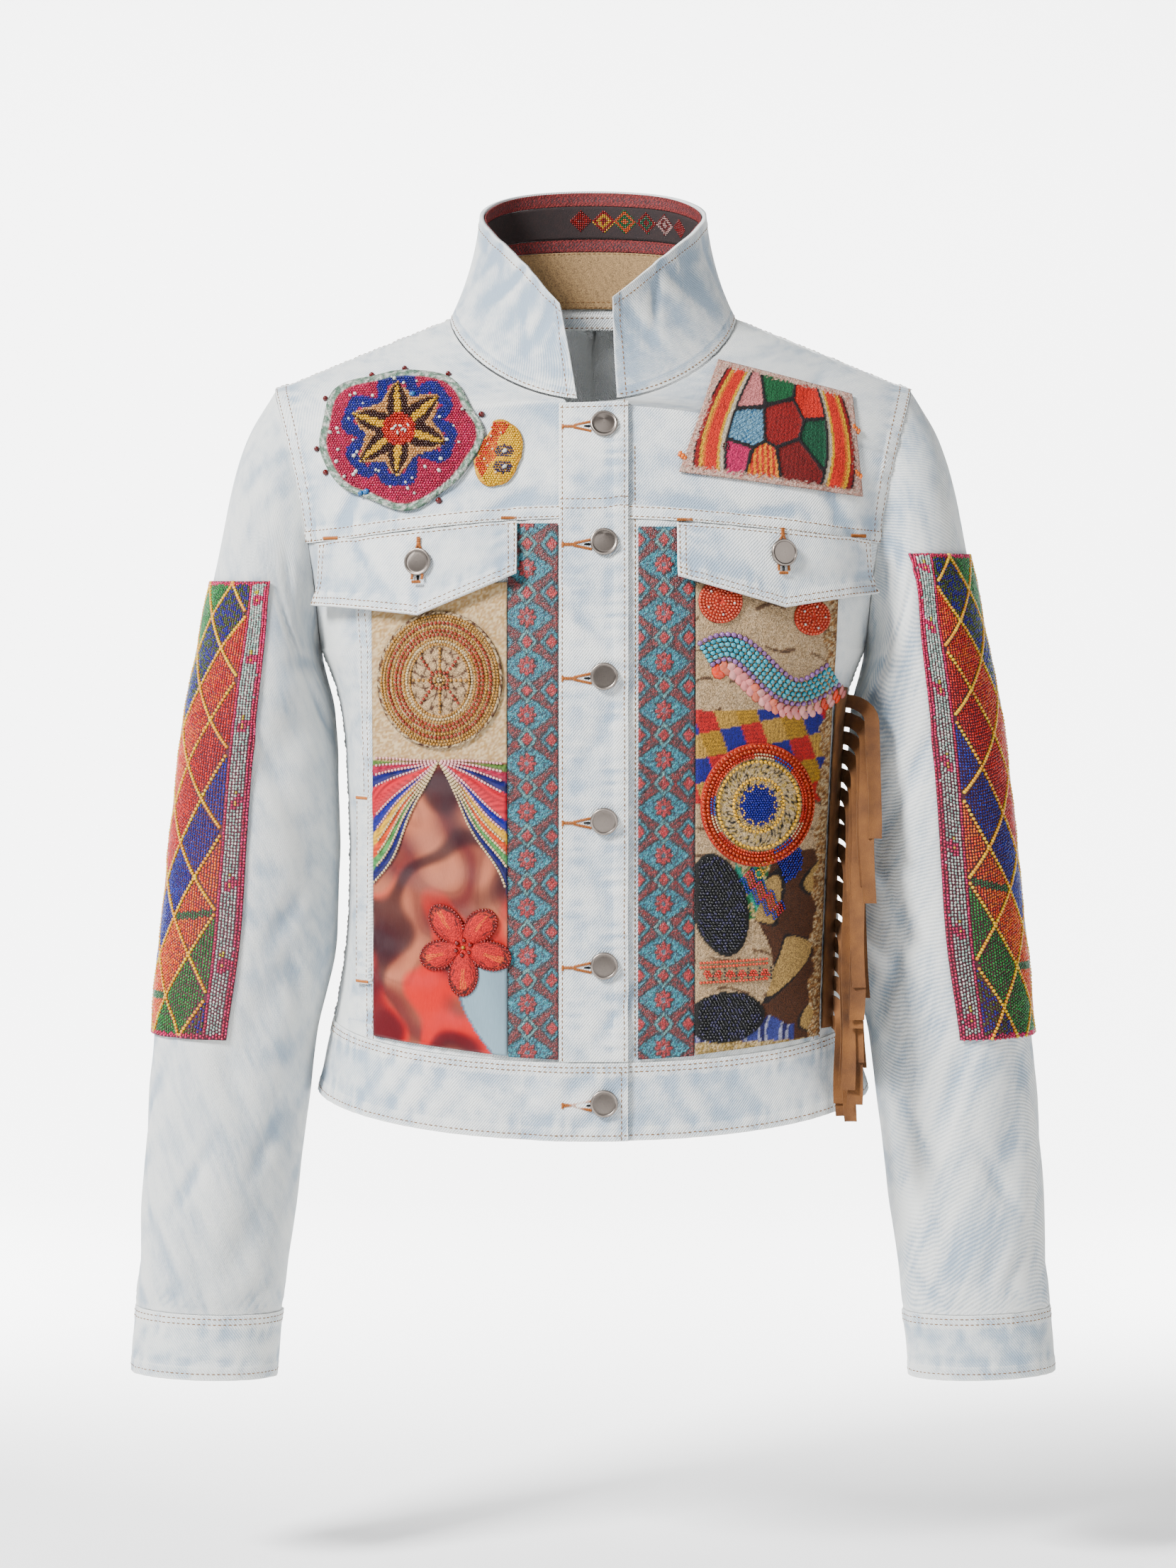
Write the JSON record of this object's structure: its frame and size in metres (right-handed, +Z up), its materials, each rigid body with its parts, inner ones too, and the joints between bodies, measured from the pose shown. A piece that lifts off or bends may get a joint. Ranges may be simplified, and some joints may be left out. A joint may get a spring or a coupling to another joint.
{
  "type": "denim jacket",
  "caption": "Cropped trucker-style denim jacket, hollow as worn, with a standing collar, beaded and embroidered patches, woven braid and a suede fringe.",
  "frame": {"origin": "middle of the neck opening, level with the points where the shoulder seams meet the collar, where the wearer's neck and shoulders hold it up", "axes": "+Z up, -Y to the front of the jacket, +X to the wearer's left (the viewer's right from the front); metres"},
  "size_m": [0.584, 0.2394, 0.754],
  "materials": {
    "denim": "bleached blue-grey twill, tan stitching",
    "denim_inside": "inner face of the same twill",
    "button_metal": "brown gunmetal, brushed, worn at the rim",
    "braid": "woven teal braid with crimson flowers",
    "collage": "embroidered and printed cloth pieces",
    "beads": "cloth covered with glass seed beads",
    "sleeve_beads": "cloth covered with rows of glass seed beads",
    "suede": "caramel suede, napped",
    "satin": "satin and corded silk",
    "tape": "herringbone cotton tape",
    "canvas": "plain beige canvas"
  },
  "bodies": {
    "root": {"front_left": "denim", "front_right": "denim", "side_front_left": "denim", "side_front_right": "denim", "front_yoke_left": "denim", "front_yoke_right": "denim", "back_yoke": "denim", "back_centre": "denim", "side_back_left": "denim", "side_back_right": "denim", "hem_band_left": "denim", "hem_band_right": "denim", "hem_band_back": "denim", "placket": "denim", "collar": "denim", "sleeve_left": "denim", "sleeve_right": "denim", "cuff_left": "denim", "cuff_right": "denim", "flap_left": "denim", "flap_right": "denim", "pocket_welt": "denim", "neck_strip": "denim_inside", "button_1": "button_metal", "button_2": "button_metal", "button_3": "button_metal", "button_4": "button_metal", "button_5": "button_metal", "button_6": "button_metal", "flap_button_left": "button_metal", "flap_button_right": "button_metal", "braid_left": "braid", "braid_right": "braid", "collage_left": "collage", "collage_right": "collage", "check_patch": "collage", "chest_flower_patch": "beads", "chest_wing_patch": "beads", "chest_geometric_patch": "beads", "paisley_medallion": "beads", "flower_applique": "beads", "bead_disc_inner": "beads", "bead_disc_outer": "beads", "petal_ruffle": "beads", "arch_medallion": "beads", "dark_bead_leaf_high": "beads", "dark_bead_leaf_low": "beads", "bead_bands": "beads", "collar_bead_band": "beads", "sleeve_bead_panel_left": "sleeve_beads", "sleeve_bead_panel_right": "sleeve_beads", "suede_fringe": "suede", "satin_corner": "satin", "corded_fan": "satin", "collar_tape_top": "tape", "collar_tape_low": "tape", "collar_canvas": "canvas"}
  },
  "joints": []
}
